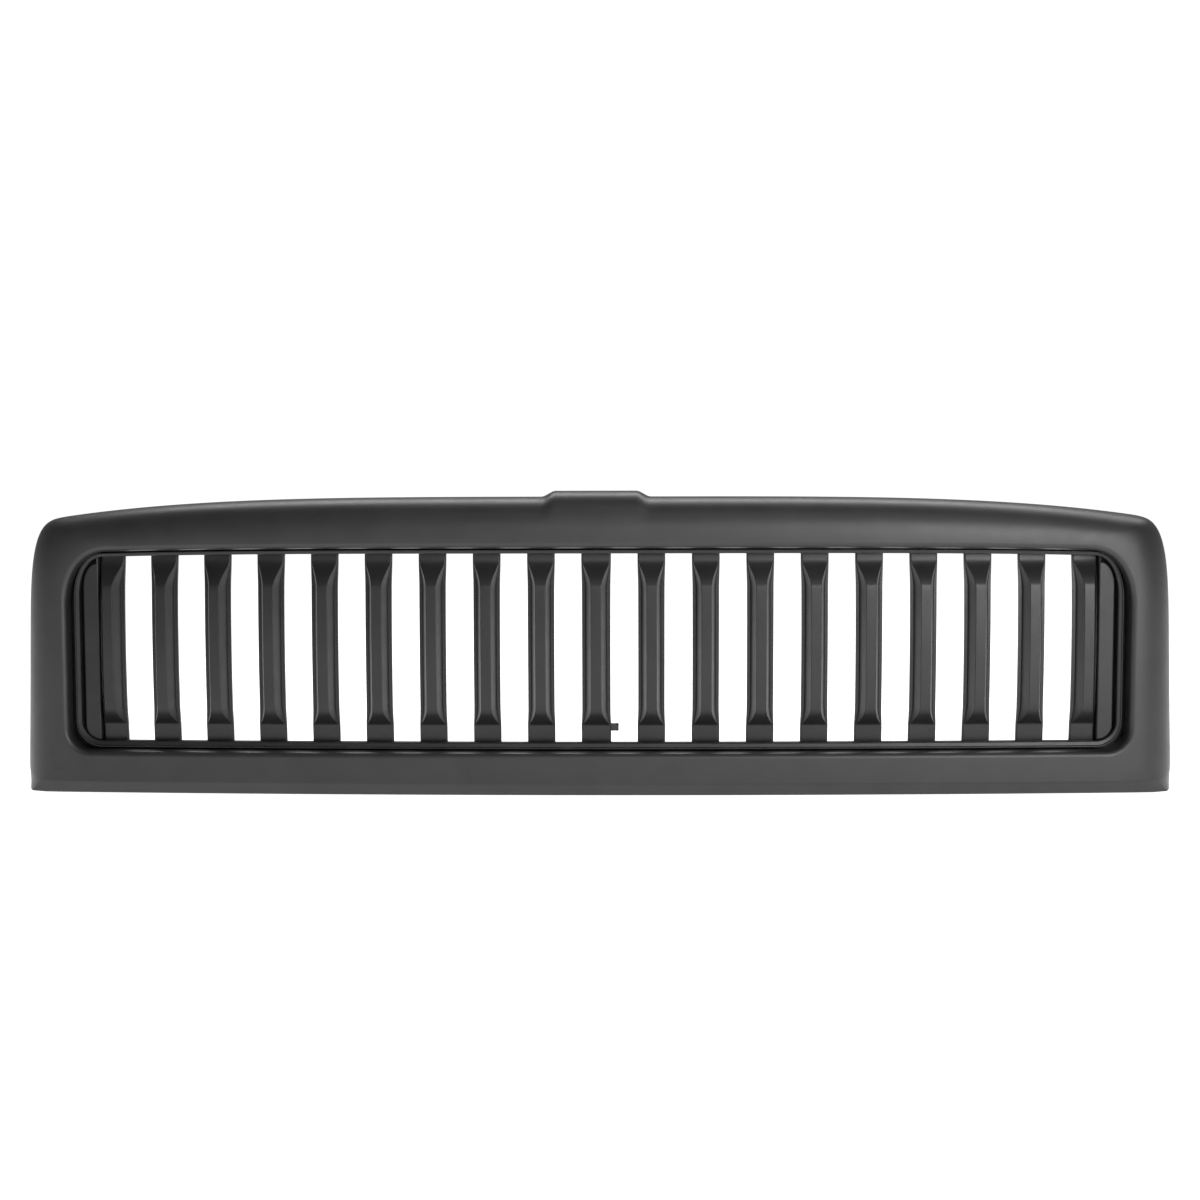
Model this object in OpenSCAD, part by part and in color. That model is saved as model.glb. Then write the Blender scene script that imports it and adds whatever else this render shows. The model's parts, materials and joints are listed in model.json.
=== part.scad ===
// Front grille of a pickup truck: a bowed surround shell round an insert of
// nineteen upright bars, held from behind by two rails, screws and brackets.
// X runs along the width, the front faces -Y, Z is up; the origin is at the
// middle of the underside. Depths are measured back from the front plane.

/* [Overall] */
// Width over the ends of the surround
body_w = 1180; // [1140:5:1220]
// Height of the top edge at mid width, without the raised centre
body_h = 300.6; // [290:0.2:310]
// Depth from the front plane to the rear ends of the brackets
body_d = 106; // [104:1:120]
// Radius of the bow of the whole front, seen from above
bow_r = 8390; // [7500:10:9500]
// Drop of the top edge at 518 mm from the middle
arch_drop = 16; // [10:0.5:18]

/* [Raised centre] */
// Rise of the raised centre above the top edge
hump_h = 5.9; // [2:0.1:8]
// Width of the raised centre's level part
hump_flat = 81; // [60:1:120]
// Width of each ramp beside it
hump_ramp = 15.2; // [12:0.2:24]

/* [Surround] */
// Wall thickness of the surround
wall = 3; // [2.5:0.1:3.5]
// Half width of the opening at the start of its rolled lip
lip_x = 542.5; // [538:0.5:550]
// Height of the lip's lower edge
lip_bottom = 38.2; // [34:0.2:40]
// Height of the lip's upper edge at mid width
lip_top = 255.4; // [250:0.2:258]
// Radius of the rolled lip
lip_r = 6; // [5:0.5:7]
// Height of the crease above the chin strip
crease_h = 12.6; // [8:0.2:14]
// How far back the crown sits at the top edge
crown_top = 36; // [30:1:40]
// How far back the crown sits at the ends
crown_side = 45; // [38:1:48]
// Lean of each end towards the middle, in 100 mm of height
side_lean = 3.1; // [0:0.1:5]

/* [Bars] */
// Number of bars on each side of the centre bar
bars_side = 9; // [9]
// Distance between bars
bar_pitch = 55.2; // [54:0.1:55.6]
// Width of a bar
bar_w = 26.8; // [24:0.2:28]
// Width of the centre bar
centre_w = 28.8; // [26:0.2:30]
// Width of the raised ridge
ridge_w = 10.2; // [8:0.1:12]
// Height of the ridge over the bar's flanges
ridge_h = 14.2; // [12:0.2:20]
// Forward bulge of the bars at mid height
bar_crown = 3.9; // [2:0.1:6]

/* [Mounts] */
// Distance between the upper bracket holes
upper_pitch = 200; // [160:10:220]
// Distance between the lower bracket holes
lower_pitch = 260; // [200:10:280]
// Diameter of the bracket holes
mount_hole = 7; // [6:0.5:8]

/* [Hidden] */
$fn = 32;

front_y = -body_d / 2;
half_w = body_w / 2;

// Outlines of the surround: the corners are superellipses
edge_rx = 46;
edge_rz = 122;
edge_power = 3.6;
edge_low_r = 10;
lip_rx = 49;
lip_rz = 61;
lip_power = 2.2;
lip_low_r = 28;
lip_arch = 2.2;
arch_span = 518;
lip_span = 455;

// Depths of the surround's walls
throat_d = 24;
throat_flange = 16;
back_top = 66;
back_side = 72;
back_low = 50;
back_flange = 22;
top_fall = 2.6;
side_fall = 2;
chin_d = 9;
top_power = 2.5;
side_power = 2.2;
crease_inset = 1.5;
crease_r = 20;
lean_from = 20;

// Insert rim: outline of its outer edge and its section
rim_x = 532.5;
rim_bottom = 45.7;
rim_top = 247.3;
rim_w = 5;
rim_w_change = 0.26;
rim_rx = 31;
rim_rz = 46;
rim_power = 2.2;
rim_low_r = 26;
rim_arch = 2.2;
rim_front = 16;
rim_back = 27;
rim_flange = 16;

// Bars: heights of their stretches
bar_low = 27;
bar_high = 267;
bar_mid = 147;
bar_reach = 97;
slope_top = 238;
ridge_top = 208.5;
ridge_low = 88;
slope_low = 69.3;
flange_d = 29;
flange_t = 3;
flange_edge = 3.2;
end_edge = 0.7;
last_half_w = 11.1;
skin = 2.4;
end_proud = 1.5;
end_flare = 0.6;

// Rails behind the bars, and the screws through them
rail_d = flange_d + flange_t + 0.2;
rail_t = 3;
rail_x = 512;
upper_rail = [246, 268];
lower_rail = [26, 46];
upper_screw_z = 258.8;
lower_screw_z = 36.4;
bar_screw_r = 2;
through_r = 2;
clearance = 0.25;
nut_r = 4.04;
nut_t = 3.2;
spacer_r = 4.5;
rail_screw_gaps = [1.5, 4.5, 7.5];

// End panels, beside the outermost bars
panel_x0 = 509.3;
panel_x1 = 525.8;
panel_z0 = 52.6;
panel_z1 = 240;
panel_d = 20.5;
panel_r = 15;
panel_plate_x = [-9.5, 22.5];
panel_plate_z = [29, 254];
panel_screw_x = 517.5;
panel_screw_z = [36.4, 248.4];

// Clip behind the centre bar
clip_x = [-15.3, 22.6];
clip_z = 62.2;
clip_d = 7;
clip_t = 7.1;

// Brackets
bracket_w = 30;
bracket_t = 2;
upper_level_z = 264;
lower_level_z = 26;
lower_foot_z = 4;
lower_bolt_z = 13;
upper_hole_d = 94;
lower_hole_d = 82;
bolt_r = 3;

// ---------- shared functions ----------

function bow(x) = bow_r - sqrt(bow_r * bow_r - x * x);
function bow_angle(x) = asin(x / bow_r);
function y_at(x, d) = front_y + d + bow(x);
function smooth(t) = let (c = max(0, min(1, t))) c * c * (3 - 2 * c);
function mix(a, b, t) = a + (b - a) * t;
function quartic(x, drop, span) = drop * pow(abs(x) / span, 4);
function bar_x(i) = sign(i) * (abs(i) * bar_pitch + (i == 0 ? 0 : 0.8));

// Point of a closed outline: corner angle t runs from 90 at the top to 0 at
// the side. Returns [x, z, outward normal x, outward normal z].
function corner_point(t, hx, top, rx, rz, p, drop, span) =
    let (c = pow(cos(t), 2 / p), s = pow(sin(t), 2 / p),
         x = hx - rx * (1 - c),
         nx = pow(c, p - 1) / rx, nz = pow(s, p - 1) / rz,
         len = norm([nx, nz]))
    [x, top - quartic(x, drop, span) - rz * (1 - s), nx / len, nz / len];

function low_corner_point(t, hx, bottom, r) =
    [hx - r * (1 - cos(t)), bottom + r * (1 - sin(t)), cos(t), -sin(t)];

// Right half of an outline, from the middle of the top to the middle of the
// bottom, at the given widths, corner angles and heights
function half_outline(hx, top, bottom, rx, rz, p, low_r, drop, span, xs, ts, zs, tl, xl) =
    concat(
        [for (x = xs) [x, top - quartic(x, drop, span), 0, 1]],
        [for (t = ts) corner_point(t, hx, top, rx, rz, p, drop, span)],
        [for (z = zs) [hx, z, 1, 0]],
        [for (t = tl) low_corner_point(t, hx, bottom, low_r)],
        [for (x = xl) [x, bottom, 0, -1]]
    );

// Mirror the right half of a ring's sections to close the ring
function mirrored(section) = [for (p = section) [-p[0], p[1], p[2]]];
function closed_ring(half) =
    concat(half, [for (i = [len(half) - 2 : -1 : 1]) mirrored(half[i])]);

// Closed polyhedron through equal sections laid round a ring
module ring_solid(sections) {
    n = len(sections);
    m = len(sections[0]);
    polyhedron(
        points = [for (s = sections, p = s) p],
        faces = [for (i = [0 : n - 1], j = [0 : m - 1])
            let (a = i * m + j, b = i * m + (j + 1) % m,
                 c = ((i + 1) % n) * m + (j + 1) % m, d = ((i + 1) % n) * m + j)
            each [[a, b, c], [a, c, d]]]
    );
}

// Closed polyhedron through equal sections laid along a line; caps lists the
// corners of the flat pieces that close each end
module strip_solid(sections, caps) {
    n = len(sections);
    m = len(sections[0]);
    polyhedron(
        points = [for (s = sections, p = s) p],
        faces = concat(
            [for (cap = caps) [for (j = [len(cap) - 1 : -1 : 0]) cap[j]]],
            [for (i = [0 : n - 2], j = [0 : m - 1])
                let (a = i * m + j, b = i * m + (j + 1) % m, c = b + m, d = a + m)
                each [[a, b, c], [a, c, d]]],
            [for (cap = caps) [for (j = cap) (n - 1) * m + j]])
    );
}

// Direction into the wall at point i of section k, square to the surface on
// both sides of the point, and as long as a wall of thickness 1 needs
function unit(v) = v / max(norm(v), 0.000001);
function into_wall(ring, k, i) =
    let (n = len(ring), m = len(ring[0]),
         along = ring[(k + 1) % n][i] - ring[(k + n - 1) % n][i],
         after = ring[k][min(i + 1, m - 1)] - ring[k][min(i, m - 2)],
         before = ring[k][max(i, 1)] - ring[k][max(i - 1, 0)],
         na = unit(cross(after, along)), nb = unit(cross(before, along)),
         dir = unit(na + nb))
    dir / max(0.6, dir * na);

// Walls of thickness t behind a ring of open outer lines
function thickened(ring, t) = [for (k = [0 : len(ring) - 1])
    let (last = len(ring[k]) - 1)
    concat(ring[k], [for (i = [last : -1 : 0]) ring[k][i] + into_wall(ring, k, i) * t])];

// ---------- surround shell ----------

// Where the sections stand: widths along the top, angles round the corners,
// heights up the ends and widths along the bottom
hump_half = hump_flat / 2;
top_widths = concat([0, hump_half * 0.6], [for (k = [0 : 3]) hump_half + hump_ramp * k / 3],
    [100, 185, 280, 370, 450]);
corner_turns = [90, 78, 66, 54, 42, 30, 16, 0];
side_heights = [120, 80];
low_turns = [0, 22, 45, 68, 90];
low_widths = [500, 390, 260, 130, 0];

lip_line = half_outline(lip_x, lip_top, lip_bottom, lip_rx, lip_rz, lip_power, lip_low_r,
    lip_arch, lip_span, top_widths, corner_turns, side_heights, low_turns, low_widths);
crease_line = half_outline(half_w - crease_inset, lip_top, crease_h, edge_rx, edge_rz,
    edge_power, crease_r, 0, 1, top_widths, corner_turns, side_heights, low_turns, low_widths);
edge_line = half_outline(half_w, body_h, 0, edge_rx, edge_rz, edge_power, edge_low_r,
    arch_drop, arch_span, top_widths, corner_turns, side_heights, low_turns, low_widths);

// How much of a section is top section, and how much is bottom section
n_top = len(top_widths);
n_corner = len(corner_turns);
low_start = n_top + n_corner + len(side_heights);
function top_share(k) = k < n_top ? 1
    : k < n_top + n_corner ? smooth(corner_turns[k - n_top] / 90) : 0;
function low_share(k) = k < low_start ? 0
    : k < low_start + len(low_turns) ? smooth(low_turns[k - low_start] / 90) : 1;

// Face between the lip and the edge, as [fraction of the way, depth]
face_steps = 8;
crease_step = 6;
function rolled_face(i, p, depth) = let (t = 90 * i / face_steps)
    [pow(sin(t), 2 / p), depth * (1 - pow(cos(t), 2 / p))];

// Depth of the rolled ends at a distance x from the middle
function end_roll(x) = let (v = max(0, min(1, (abs(x) - lip_x) / (half_w - lip_x))))
    crown_side * (1 - pow(1 - pow(v, side_power), 1 / side_power));

// Rise of the raised centre, fading out down the face
function hump_rise(x, u) = hump_h * smooth((hump_half + hump_ramp - abs(x)) / hump_ramp)
    * smooth((u - 0.4) / 0.6);

// Width position of a point once the ends lean in, from lean_from upward
function leaning(x, z) = x - sign(x) * side_lean / 100 * max(0, z - lean_from)
    * max(0, min(1, (abs(x) - lip_x) / (half_w - lip_x)));

function flat_point(p, d) = let (x = leaning(p[0], p[1])) [x, y_at(x, d), p[1]];

function upper_face(k) = let (l = lip_line[k], e = edge_line[k], kt = top_share(k))
    [for (i = [1 : face_steps])
        let (f = kt * rolled_face(i, top_power, crown_top)
                + (1 - kt) * rolled_face(i, side_power, crown_side),
             rise = kt == 1 ? hump_rise(e[0], f[0]) : 0)
        flat_point([mix(l[0], e[0], f[0]), mix(l[1], e[1], f[0]) + rise], f[1])];

// Flat panel down to the crease, then the chin strip to the edge
function lower_face(k) = let (l = lip_line[k], c = crease_line[k], e = edge_line[k],
        last = rolled_face(crease_step, side_power, 1)[0],
        steps = face_steps - crease_step, crease_d = end_roll(c[0]),
        edge_d = crease_d + mix(crown_side - end_roll(half_w - crease_inset), chin_d,
            low_share(k)))
    [for (i = [1 : face_steps])
        let (f = rolled_face(i, side_power, 1)[0] / last, g = (i - crease_step) / steps,
             x = i <= crease_step ? mix(l[0], c[0], f) : mix(c[0], e[0], g),
             z = i <= crease_step ? mix(l[1], c[1], f) : mix(c[1], e[1], g))
        flat_point([x, z], i <= crease_step ? end_roll(x) : mix(crease_d, edge_d, g))];

// Outer line of one section, from the throat's flange to the rear flange
function surround_line(k) =
    let (l = lip_line[k], e = edge_line[k], kt = top_share(k), kl = low_share(k),
         ks = 1 - kt - kl, back = kt * back_top + kl * back_low + ks * back_side,
         fall = kt * top_fall + ks * side_fall,
         inward = unit([l[0] - e[0], l[1] - e[1]]),
         rise = kt == 1 ? hump_rise(e[0], 1) : 0,
         rear = [e[0], e[1] + rise] + inward * fall)
    concat(
        [for (q = concat(
            [[throat_flange - lip_r, throat_d], [-lip_r, throat_d], [-lip_r, lip_r * 2]],
            [for (a = [0 : 22.5 : 90]) [-lip_r * cos(a), lip_r * (1 - sin(a))]]))
            flat_point([l[0] + l[2] * q[0], l[1] + l[3] * q[0]], q[1])],
        k < low_start ? upper_face(k) : lower_face(k),
        [flat_point(rear, back), flat_point(rear + inward * back_flange, back)]
    );

module surround_shell() {
    outer = closed_ring([for (k = [0 : len(lip_line) - 1]) surround_line(k)]);
    color("dimgray") difference() {
        ring_solid(thickened(outer, wall));
        through_holes(throat_d - wall - 1, throat_d + 1);
        bracket_bolt_holes(upper_bolts, back_top);
        bracket_bolt_holes(lower_bolts, back_low);
    }
}

// ---------- insert rim ----------

rim_line = half_outline(rim_x, rim_top, rim_bottom, rim_rx, rim_rz, rim_power, rim_low_r,
    rim_arch, lip_span, [0, 90, 180, 270, 360, 440], [90, 72, 54, 36, 18, 0], [130],
    [0, 22, 45, 68, 90], [390, 260, 130, 0]);

// Section of the rim: a bead along the outside, a face that falls to the
// inner edge, a wall back and a fixing flange outward; the face is wider
// below than above
rim_path = [
    [-rim_w, rim_back], [-rim_w, rim_front + 1.8], [-rim_w + 0.8, rim_front + 1],
    [-1.6, rim_front + 0.4], [-1.1, rim_front - 0.8], [0, rim_front - 0.8],
    [0.3, rim_front + 0.4], [0.3, rim_back - wall], [rim_flange, rim_back - wall],
    [rim_flange, rim_back], [-2, rim_back], [-2, rim_front + 4], [-2.8, rim_front + 4],
    [-2.8, rim_back]
];

module insert_rim() {
    color("dimgray") difference() {
        ring_solid(closed_ring([for (l = rim_line) [for (q = rim_path)
            let (out = q[0] * (q[0] < 0 ? 1 - rim_w_change * l[3] : 1),
                 x = l[0] + l[2] * out, z = l[1] + l[3] * out) [x, y_at(x, q[1]), z]]]));
        through_holes(rim_back - wall - 1, rim_back + 1);
    }
}

// ---------- bars ----------

// Depth of the flanges at height z: the bars bulge forward at mid height
function bar_flange_d(z) =
    flange_d - bar_crown * (1 - min(1, pow((z - bar_mid) / bar_reach, 2)));

// How far the front has dropped from the ridge (0) to the end face (1)
function bar_drop(z) =
    z >= ridge_low && z <= ridge_top ? 0
    : z > ridge_top ? smooth((z - ridge_top) / (slope_top - ridge_top))
    : min(1, pow((ridge_low - z) / (ridge_low - slope_low), 1.6));

bar_heights = [bar_low, slope_low, 73, 77, 82, ridge_low, 115, bar_mid, 182, ridge_top,
    214, 219, 223, 228, 233, slope_top, bar_high];

// Section at height z, w wide, with each side cut at the given half width
function bar_section(z, w, left, right) =
    let (drop = bar_drop(z), df = bar_flange_d(z),
         edge = w / 2 + end_flare * drop, foot = edge - mix(flange_edge, end_edge, drop),
         edge_l = min(edge, left), edge_r = min(edge, right),
         foot_l = min(foot, left - end_edge), foot_r = min(foot, right - end_edge),
         face_l = mix(ridge_w / 2, foot_l - 0.3, drop),
         face_r = mix(ridge_w / 2, foot_r - 0.3, drop),
         front = df - mix(ridge_h, end_proud, drop), inner = front + skin,
         back = df + flange_t)
    [[-edge_l, back], [-edge_l, df], [-foot_l, df], [-face_l, front], [face_r, front],
     [foot_r, df], [edge_r, df], [edge_r, back], [foot_r - skin, back],
     [face_r - skin * 0.8, inner], [-face_l + skin * 0.8, inner], [-foot_l + skin, back]];

bar_caps = [[0, 1, 2, 11], [2, 3, 10, 11], [3, 4, 9, 10], [4, 5, 8, 9], [5, 6, 7, 8]];

module bar(i) {
    w = i == 0 ? centre_w : bar_w;
    x0 = bar_x(i);
    left = i == -bars_side ? last_half_w : w;
    right = i == bars_side ? last_half_w : w;
    color("dimgray") translate([x0, y_at(x0, 0), 0]) rotate([0, 0, bow_angle(x0)])
        difference() {
            strip_solid([for (z = bar_heights)
                    [for (q = bar_section(z, w, left, right)) [q[0], q[1], z]]], bar_caps);
            for (z = [upper_screw_z, lower_screw_z])
                translate([0, flange_d - 8, z]) rotate([-90, 0, 0])
                    cylinder(r = bar_screw_r + clearance, h = 14);
        }
}

// ---------- end panels ----------

// Outline of a panel in its own plane: square to the bar, round to the outside
panel_outline = let (w = panel_x1 - panel_x0, r = panel_r) concat(
    [[0, panel_z0]],
    [for (t = [-90 : 15 : 0]) [w - r + r * cos(t), panel_z0 + r + r * sin(t)]],
    [for (t = [0 : 15 : 90]) [w - r + r * cos(t), panel_z1 - 6 - r * 1.6 + r * 1.6 * sin(t)]],
    [[0, panel_z1]]);

module end_panel(side) {
    mid = (panel_x0 + panel_x1) / 2;
    color("dimgray") difference() {
        mirror([side < 0 ? 1 : 0, 0, 0])
            translate([mid, y_at(mid, 0), 0]) rotate([0, 0, bow_angle(mid)]) {
                translate([panel_x0 - mid, rail_d + 0.1, 0]) rotate([90, 0, 0])
                    linear_extrude(rail_d + 0.1 - panel_d) polygon(panel_outline);
                translate([panel_plate_x[0], rail_d, panel_plate_z[0]])
                    cube([panel_plate_x[1] - panel_plate_x[0], rail_t,
                        panel_plate_z[1] - panel_plate_z[0]]);
            }
        through_holes(rail_d - 2, rail_d + rail_t + 2);
    }
}

// ---------- rails behind the bars ----------

// Plan of a bowed strip between two depths
function strip_plan(d0, d1, reach, steps) = concat(
    [for (i = [0 : steps]) let (x = mix(-reach, reach, i / steps)) [x, y_at(x, d0)]],
    [for (i = [steps : -1 : 0]) let (x = mix(-reach, reach, i / steps)) [x, y_at(x, d1)]]);

// Screw axis: stands at x, runs back along the bow's own normal
module on_bow(x, z, d) {
    translate([x, y_at(x, 0), z]) rotate([0, 0, bow_angle(x)]) translate([0, d, 0])
        rotate([-90, 0, 0]) children();
}

// Where the long screws go through rails or end panels, rim and surround
function hang(x) = upper_screw_z - quartic(x, lip_arch, lip_span);
through_right = concat(
    [for (gap = rail_screw_gaps) let (x = gap * bar_pitch + 0.8)
        each [[x, hang(x)], [x, lower_screw_z]]],
    [for (z = panel_screw_z) [panel_screw_x, z]]);
through_at = [for (p = through_right, side = [-1, 1]) [side * p[0], p[1]]];

module through_holes(d0, d1) {
    for (p = through_at) on_bow(p[0], p[1], d0)
        cylinder(r = through_r + clearance, h = d1 - d0);
}

module rail(span, screw_z, lip_z) {
    color("dimgray") difference() {
        union() {
            translate([0, 0, span[0]]) linear_extrude(span[1] - span[0])
                polygon(strip_plan(rail_d, rail_d + rail_t, rail_x - 9, 16));
            translate([0, 0, lip_z]) linear_extrude(rail_t)
                polygon(strip_plan(rail_d + rail_t - 0.5, rail_d + 14, rail_x - 9, 16));
        }
        for (i = [-bars_side : bars_side]) on_bow(bar_x(i), screw_z, rail_d - 2)
            cylinder(r = bar_screw_r + clearance, h = rail_t + 4);
        through_holes(rail_d - 2, rail_d + rail_t + 2);
    }
}

module upper_carrier() { rail(upper_rail, upper_screw_z, upper_rail[1] - rail_t); }
module lower_carrier() { rail(lower_rail, lower_screw_z, lower_rail[0]); }

// ---------- fasteners ----------

// Pan-head screw: head on top of the seat at depth 0, shank towards the front
module pan_screw(r, length) {
    rotate([180, 0, 0]) cylinder(r = r, h = length);
    difference() {
        union() {
            cylinder(r = r * 2.1, h = r * 0.7);
            translate([0, 0, r * 0.7]) cylinder(r1 = r * 2.1, r2 = r * 1.3, h = r * 0.6);
        }
        for (turn = [0, 90]) rotate([0, 0, turn])
            translate([-r * 0.95, -r * 0.22, r * 0.6]) cube([r * 1.9, r * 0.44, r]);
    }
}

module bar_screws(z) {
    for (i = [-bars_side : bars_side])
        color("silver") on_bow(bar_x(i), z, rail_d + rail_t) pan_screw(bar_screw_r, 7.2);
}

module insert_screws() {
    for (p = through_at) color("silver") on_bow(p[0], p[1], rail_d + rail_t)
            pan_screw(through_r, rail_d + rail_t - throat_d + wall + 5);
}

module insert_nuts() {
    for (p = through_at) color("silver") on_bow(p[0], p[1], throat_d - wall - nut_t)
            difference() {
                cylinder(r = nut_r, h = nut_t, $fn = 6);
                translate([0, 0, -1]) cylinder(r = through_r + 0.05, h = nut_t + 2);
            }
}

module insert_spacers() {
    for (p = through_at) color("dimgray") on_bow(p[0], p[1], rim_back)
            difference() {
                cylinder(r = spacer_r, h = rail_d - rim_back);
                translate([0, 0, -1])
                    cylinder(r = through_r + clearance, h = rail_d - rim_back + 2);
            }
}

// ---------- brackets ----------

// Bolts through the surround's rear flange, as [x, height]; the upper ones
// follow its top edge
function bracket_at(pitch, count, k) = (k - (count - 1) / 2) * pitch;
function rear_top(x) = body_h - quartic(x, arch_drop, arch_span) + hump_rise(x, 1) - top_fall;
upper_bolts = [for (k = [0 : 4]) let (x = bracket_at(upper_pitch, 5, k))
    [x, rear_top(x) - 14]];
lower_bolts = [for (k = [0 : 3]) [bracket_at(lower_pitch, 4, k), lower_bolt_z]];

module bracket_bolt_holes(bolts, back) {
    for (p = bolts) on_bow(p[0], p[1], back - wall - 3)
        cylinder(r = bolt_r + clearance, h = wall + 6);
}

// Angle bracket: upright leg against the surround's rear flange, level leg
// running back to one straight row of holes
module bracket(x, back, leg, bolt_z, hole_d, level_z) {
    color("gray") difference() {
        union() {
            translate([x, y_at(x, 0), 0]) rotate([0, 0, bow_angle(x)])
                translate([-bracket_w / 2, back + 0.1, leg[0]])
                    cube([bracket_w, bracket_t, leg[1] - leg[0]]);
            translate([x - bracket_w / 2 + 2, y_at(x, back + bracket_t) - 1.2, level_z])
                cube([bracket_w - 4, hole_d + 12 - back - bow(x) - bracket_t + 1.2, bracket_t]);
        }
        translate([x, front_y + hole_d, level_z - 1])
            cylinder(r = mount_hole / 2, h = bracket_t + 2);
        on_bow(x, bolt_z, back - 2) cylinder(r = bolt_r + clearance, h = bracket_t + 4);
    }
}

module upper_bracket(k) {
    x = upper_bolts[k][0];
    bracket(x, back_top, [upper_level_z, rear_top(x) - 5], upper_bolts[k][1], upper_hole_d,
        upper_level_z);
}

module lower_bracket(k) {
    bracket(lower_bolts[k][0], back_low, [lower_foot_z, lower_level_z + bracket_t],
        lower_bolt_z, lower_hole_d, lower_level_z);
}

// Flanged hexagon bolt, head behind the bracket's upright leg
module hex_bolt(r, length) {
    rotate([180, 0, 0]) cylinder(r = r, h = length);
    cylinder(r = r * 2.2, h = 1.2);
    translate([0, 0, 1.1]) cylinder(r = r * 1.9, h = r * 1.2, $fn = 6);
}

module bracket_bolts() {
    for (p = upper_bolts) color("silver") on_bow(p[0], p[1], back_top + bracket_t + 0.2)
        hex_bolt(bolt_r, 12);
    for (p = lower_bolts) color("silver") on_bow(p[0], p[1], back_low + bracket_t + 0.2)
        hex_bolt(bolt_r, 12);
}

module flange_nut(r) {
    difference() {
        union() {
            cylinder(r = r * 1.9, h = 4.4, $fn = 6);
            translate([0, 0, 4.2]) cylinder(r = r * 2.3, h = 1.2);
        }
        translate([0, 0, -1]) cylinder(r = r + 0.05, h = 8);
    }
}

module bracket_nuts() {
    for (p = upper_bolts) color("silver") on_bow(p[0], p[1], back_top - wall - 5.5)
        flange_nut(bolt_r);
    for (p = lower_bolts) color("silver") on_bow(p[0], p[1], back_low - wall - 5.5)
        flange_nut(bolt_r);
}

// ---------- clip behind the centre bar ----------

// Cross piece that snaps behind the foot of the centre bar; its square end
// stands out on one side, and a leg runs down to the lower rail
module centre_clip() {
    color("dimgray") translate([0, front_y, 0]) {
        difference() {
            translate([clip_x[0], rail_d, clip_z])
                cube([clip_x[1] - clip_x[0], clip_d, clip_t]);
            translate([clip_x[1] - 2, rail_d + 1.8, clip_z + 1.5])
                cube([3, clip_d - 3.6, clip_t - 3]);
        }
        translate([-6, rail_d, lower_rail[1] + 0.2])
            cube([12, 5, clip_z - lower_rail[1] + 1]);
    }
}

surround_shell();
insert_rim();
bar(-9);  // bar_01
bar(-8);  // bar_02
bar(-7);  // bar_03
bar(-6);  // bar_04
bar(-5);  // bar_05
bar(-4);  // bar_06
bar(-3);  // bar_07
bar(-2);  // bar_08
bar(-1);  // bar_09
bar(0);  // bar_10
bar(1);  // bar_11
bar(2);  // bar_12
bar(3);  // bar_13
bar(4);  // bar_14
bar(5);  // bar_15
bar(6);  // bar_16
bar(7);  // bar_17
bar(8);  // bar_18
bar(9);  // bar_19
end_panel(-1);  // end_panel_left
end_panel(1);  // end_panel_right
upper_carrier();
lower_carrier();
bar_screws(upper_screw_z);  // upper_bar_screws
bar_screws(lower_screw_z);  // lower_bar_screws
insert_screws();
insert_nuts();
insert_spacers();
upper_bracket(0);  // upper_bracket_1
upper_bracket(1);  // upper_bracket_2
upper_bracket(2);  // upper_bracket_3
upper_bracket(3);  // upper_bracket_4
upper_bracket(4);  // upper_bracket_5
lower_bracket(0);  // lower_bracket_1
lower_bracket(1);  // lower_bracket_2
lower_bracket(2);  // lower_bracket_3
lower_bracket(3);  // lower_bracket_4
bracket_bolts();
bracket_nuts();
centre_clip();
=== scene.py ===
"""Bowed front grille with nineteen upright bars: finished meshes, materials and studio."""

import json
import math

import bpy
import numpy as np
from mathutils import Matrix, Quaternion, Vector


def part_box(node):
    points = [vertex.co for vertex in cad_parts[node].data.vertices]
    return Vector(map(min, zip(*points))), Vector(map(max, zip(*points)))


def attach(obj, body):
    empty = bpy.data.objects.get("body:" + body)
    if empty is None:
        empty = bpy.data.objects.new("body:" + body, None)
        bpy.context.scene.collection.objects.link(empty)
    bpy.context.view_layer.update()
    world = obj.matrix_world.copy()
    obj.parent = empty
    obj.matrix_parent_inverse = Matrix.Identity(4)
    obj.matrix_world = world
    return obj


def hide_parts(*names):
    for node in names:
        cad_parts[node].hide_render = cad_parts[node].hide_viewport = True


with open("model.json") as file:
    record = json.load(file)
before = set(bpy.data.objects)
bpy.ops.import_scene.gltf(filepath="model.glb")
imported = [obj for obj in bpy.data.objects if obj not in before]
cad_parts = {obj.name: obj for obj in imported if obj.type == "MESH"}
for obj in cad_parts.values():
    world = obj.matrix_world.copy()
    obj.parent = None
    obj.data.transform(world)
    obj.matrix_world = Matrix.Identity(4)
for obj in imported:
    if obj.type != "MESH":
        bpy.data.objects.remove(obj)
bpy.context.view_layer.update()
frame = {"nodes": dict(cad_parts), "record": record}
MM = 0.001

# ---------- sizes, in millimetres, as the frame has them ----------

low_corner, high_corner = [np.array(c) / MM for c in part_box("surround_shell")]
HALF_W = high_corner[0]
FRONT_Y = low_corner[1]
BOW_R = 8390.0
HUMP_H = 5.9
HUMP_HALF = 40.5
HUMP_RAMP = 15.2
BODY_H = high_corner[2] - HUMP_H
ARCH_DROP = 16.0
ARCH_SPAN = 518.0
WALL = 3.0

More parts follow.
